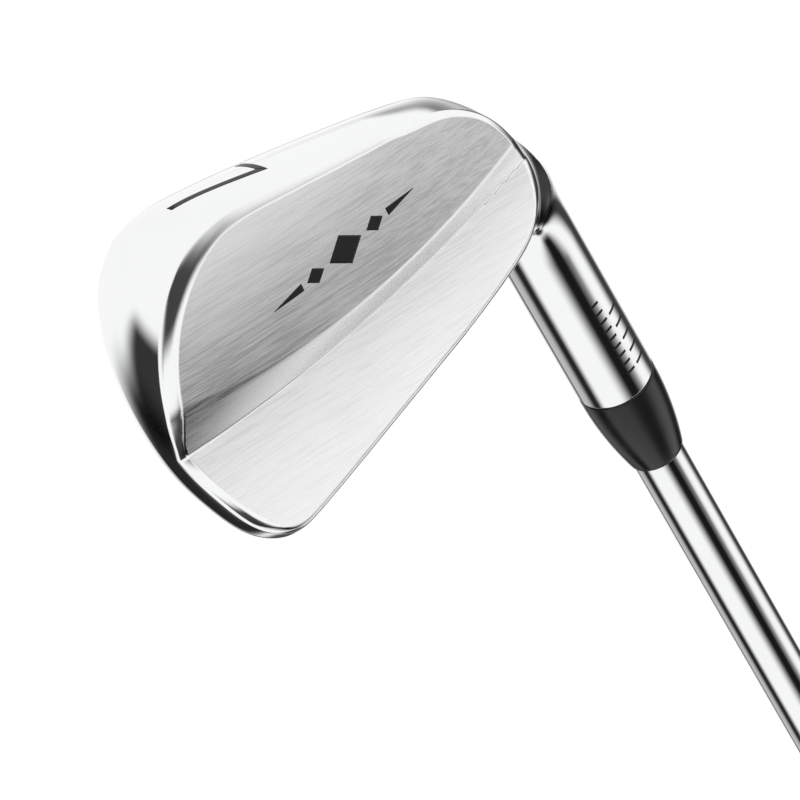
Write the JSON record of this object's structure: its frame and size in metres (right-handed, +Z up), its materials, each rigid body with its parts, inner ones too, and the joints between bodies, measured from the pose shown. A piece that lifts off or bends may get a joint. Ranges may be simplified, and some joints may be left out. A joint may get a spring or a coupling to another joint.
{
  "type": "golf iron",
  "caption": "Right-handed muscle-back 7 iron with a forged chromed head, black ferrule, stepped steel shaft and tapered rubber grip.",
  "frame": {"origin": "centre of the grip cap's flat end face, on the shaft axis, at the mouth of the vent hole", "axes": "+Z up the shaft axis from the grip to the head, as the club stands upside down in a bag; the striking face looks toward +Y, its back toward -Y, and the toe points toward -X"},
  "size_m": [0.0972, 0.0443, 0.9701],
  "materials": {
    "head_chrome": "nickel-chrome plate, polished on the hosel and walls, satin brushed on the back and sole",
    "black_paint": "black paint fill, slightly sunk, semi-gloss",
    "ferrule_plastic": "buffed black acetate",
    "epoxy": "cured adhesive",
    "weight_brass": "turned",
    "shaft_chrome": "polished nickel-chrome plate",
    "band_foil": "satin printed foil",
    "tape_paper": "crepe paper tape",
    "grip_rubber": "moulded rubber with a fine grip pattern",
    "white_paint": "white paint fill",
    "cap_rubber": "smooth moulded rubber"
  },
  "bodies": {
    "root": {"club_head": "head_chrome", "sole_number_fill": "black_paint", "back_ornament_fill": "black_paint", "hosel_mark_fill": "black_paint", "ferrule": "ferrule_plastic", "hosel_epoxy": "epoxy", "tip_weight": "weight_brass", "shaft": "shaft_chrome", "shaft_band": "band_foil", "grip_tape": "tape_paper", "grip_sleeve": "grip_rubber", "grip_mark_fill": "white_paint", "grip_cap": "cap_rubber"}
  },
  "joints": []
}
